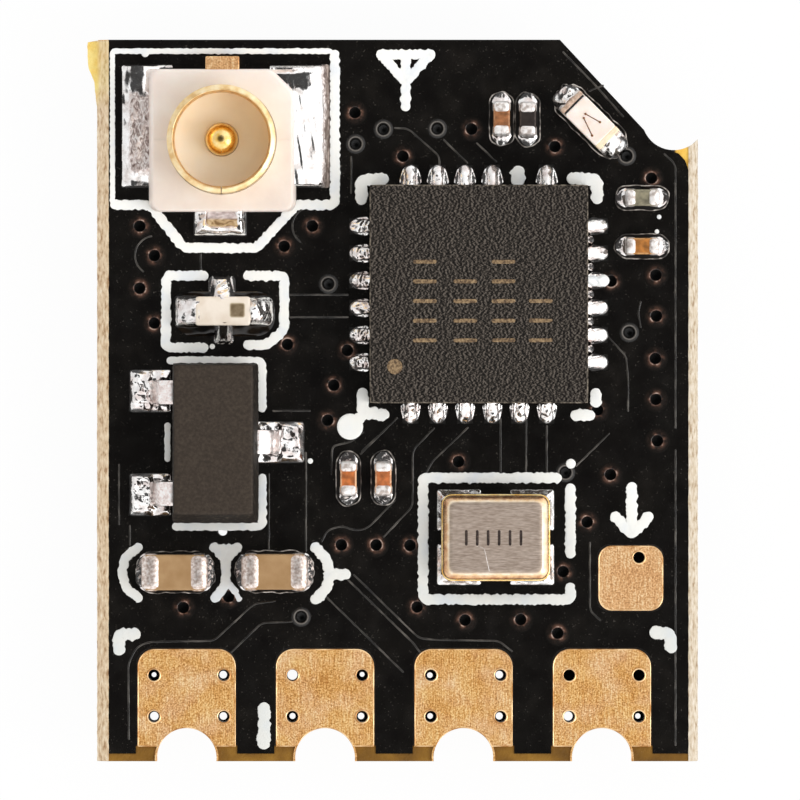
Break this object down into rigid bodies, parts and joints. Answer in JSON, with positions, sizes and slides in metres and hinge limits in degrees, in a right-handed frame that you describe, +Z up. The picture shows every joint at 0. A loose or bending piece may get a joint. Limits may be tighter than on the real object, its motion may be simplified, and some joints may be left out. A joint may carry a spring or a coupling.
{
  "type": "radio control receiver module",
  "caption": "Tiny two-sided receiver circuit board with a coaxial antenna socket, radio chip, oscillator, regulator and castellated edge pads for soldering.",
  "frame": {"origin": "middle of the board in plan, at the flat back of the controller chip that the part rests on", "axes": "+Z up out of the component side, +Y from the edge pads to the antenna socket end, +X across"},
  "size_m": [0.0112, 0.0132, 0.003],
  "materials": {
    "laminate": "cut glass-epoxy edge",
    "solder_mask": "satin black lacquer",
    "legend_ink": "printed white ink",
    "gold_plate": "brushed gold plating",
    "copper": "plated barrel",
    "housing_plastic": "moulded ivory plastic",
    "contact_metal": "thin gold plating",
    "solder": "wetted tin solder",
    "lead_metal": "matt tin plating",
    "mould_compound": "grained moulding compound",
    "can_lid_metal": "brushed lid",
    "can_ceramic": "fired dark ceramic",
    "filter_ceramic": "fired cream ceramic",
    "capacitor_tan": "fired tan ceramic",
    "capacitor_brown": "fired brown ceramic",
    "capacitor_orange": "fired orange ceramic",
    "capacitor_grey": "fired grey ceramic",
    "resistor_black": "glass overcoat",
    "lamp_resin": "clear lens resin",
    "lamp_board": "white lamp base",
    "lamp_chip": "lamp die"
  },
  "bodies": {
    "root": {"board_core": "laminate", "top_mask": "solder_mask", "bottom_mask": "solder_mask", "legend": "legend_ink", "via_barrels": "copper", "edge_pad_1": "gold_plate", "edge_pad_2": "gold_plate", "edge_pad_3": "gold_plate", "edge_pad_4": "gold_plate", "boot_pad": "gold_plate", "antenna_socket_housing": "housing_plastic", "antenna_socket_shell": "contact_metal", "antenna_socket_pin": "contact_metal", "antenna_socket_solder": "solder", "transceiver_body": "mould_compound", "transceiver_lands": "lead_metal", "transceiver_solder": "solder", "oscillator_base": "can_ceramic", "oscillator_seal_ring": "contact_metal", "oscillator_lid": "can_lid_metal", "oscillator_solder": "solder", "regulator_body": "mould_compound", "regulator_leads": "lead_metal", "regulator_solder": "solder", "filter_body": "filter_ceramic", "filter_terminals": "lead_metal", "filter_solder": "solder", "input_capacitor": "capacitor_tan", "input_capacitor_ends": "lead_metal", "output_capacitor": "capacitor_tan", "output_capacitor_ends": "lead_metal", "supply_capacitor_solder": "solder", "lamp_base": "lamp_board", "lamp_terminals": "lead_metal", "lamp_die": "lamp_chip", "lamp_wires": "contact_metal", "lamp_lens": "lamp_resin", "lamp_solder": "solder", "small_capacitor_1": "capacitor_brown", "small_capacitor_2": "capacitor_grey", "small_capacitor_3": "capacitor_orange", "small_capacitor_4": "capacitor_orange", "small_capacitor_5": "capacitor_orange", "small_resistor": "resistor_black", "small_chip_ends": "lead_metal", "small_chip_solder": "solder", "controller_body": "mould_compound", "controller_lands": "lead_metal", "controller_solder": "solder", "crystal_base": "can_ceramic", "crystal_lid": "can_lid_metal", "crystal_solder": "solder", "bottom_capacitor_1": "capacitor_orange", "bottom_capacitor_2": "capacitor_orange", "bottom_capacitor_3": "capacitor_orange", "bottom_resistor": "resistor_black", "bottom_chip_ends": "lead_metal", "bottom_chip_solder": "solder"}
  },
  "joints": []
}
